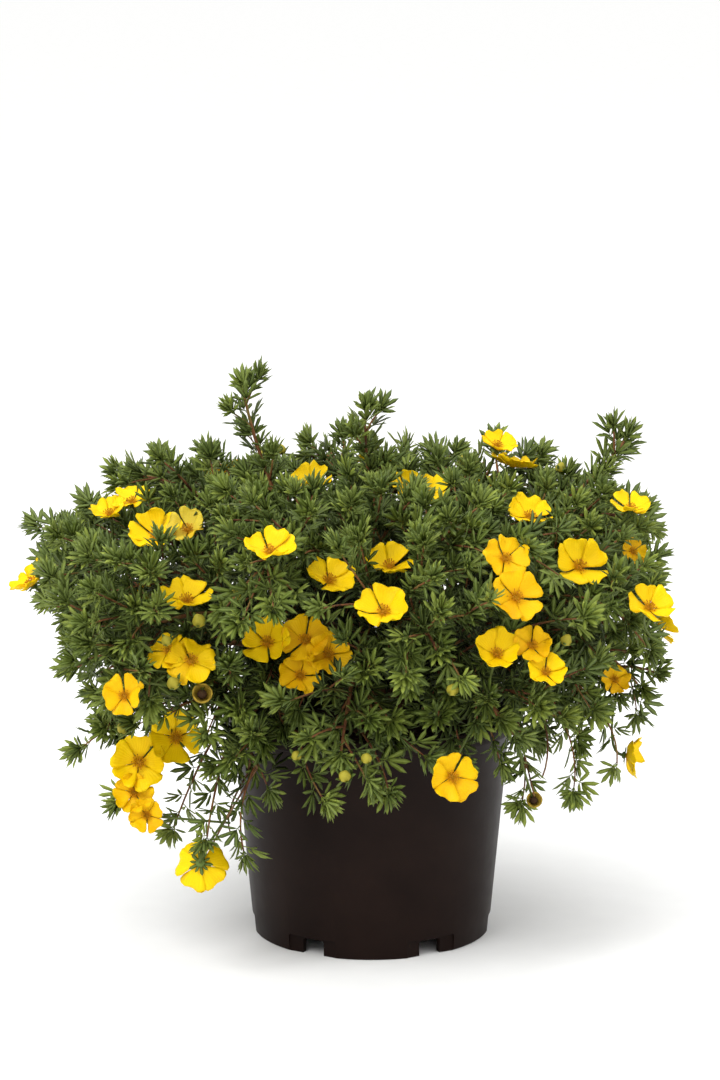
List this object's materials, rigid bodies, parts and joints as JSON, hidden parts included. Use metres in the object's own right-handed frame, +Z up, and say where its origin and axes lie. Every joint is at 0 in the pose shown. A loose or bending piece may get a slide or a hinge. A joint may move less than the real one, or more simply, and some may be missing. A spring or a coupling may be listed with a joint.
{
  "type": "potted shrubby cinquefoil",
  "caption": "Low mounded shrubby cinquefoil with narrow green leaves and yellow five-petalled blooms, in a plain dark plastic nursery pot.",
  "frame": {"origin": "on the floor under the middle of the whole plant's bounding box", "axes": "+Z up out of the pot, -Y the front seen in the picture, +X to its right"},
  "size_m": [0.4538, 0.4278, 0.3885],
  "materials": {
    "pot_plastic": "satin moulded plastic, dark brown-black",
    "soil": "rough crumbly potting compost",
    "bark": "thin flaking red-brown bark",
    "leaves": "soft matt leaf, paler at the rib",
    "petals": "soft satin petal"
  },
  "bodies": {
    "root": {"pot": "pot_plastic", "soil": "soil", "woody_stems": "bark", "spray_01": "leaves", "spray_02": "leaves", "spray_03": "leaves", "spray_04": "leaves", "spray_05": "leaves", "spray_06": "leaves", "spray_07": "leaves", "spray_08": "leaves", "spray_09": "leaves", "spray_10": "leaves", "spray_11": "leaves", "spray_12": "leaves", "spray_13": "leaves", "spray_14": "leaves", "spray_15": "leaves", "spray_16": "leaves", "spray_17": "leaves", "spray_18": "leaves", "spray_19": "leaves", "spray_20": "leaves", "spray_21": "leaves", "spray_22": "leaves", "spray_23": "leaves", "spray_24": "leaves", "bloom_01": "petals", "bloom_02": "petals", "bloom_03": "petals", "bloom_04": "petals", "bloom_05": "petals", "bloom_06": "petals", "bloom_07": "petals", "bloom_08": "petals", "bloom_09": "petals", "bloom_10": "petals", "bloom_11": "petals", "bloom_12": "petals", "bloom_13": "petals", "bloom_14": "petals", "bloom_15": "petals", "bloom_16": "petals", "bloom_17": "petals", "bloom_18": "petals", "bloom_19": "petals", "bloom_20": "petals", "bloom_21": "petals", "bloom_22": "petals", "bloom_23": "petals", "bloom_24": "petals", "bloom_25": "petals", "bloom_26": "petals", "bloom_27": "petals", "bloom_28": "petals", "bloom_29": "petals", "bloom_30": "petals", "bloom_31": "petals", "bloom_32": "petals", "bloom_33": "petals"}
  },
  "joints": []
}
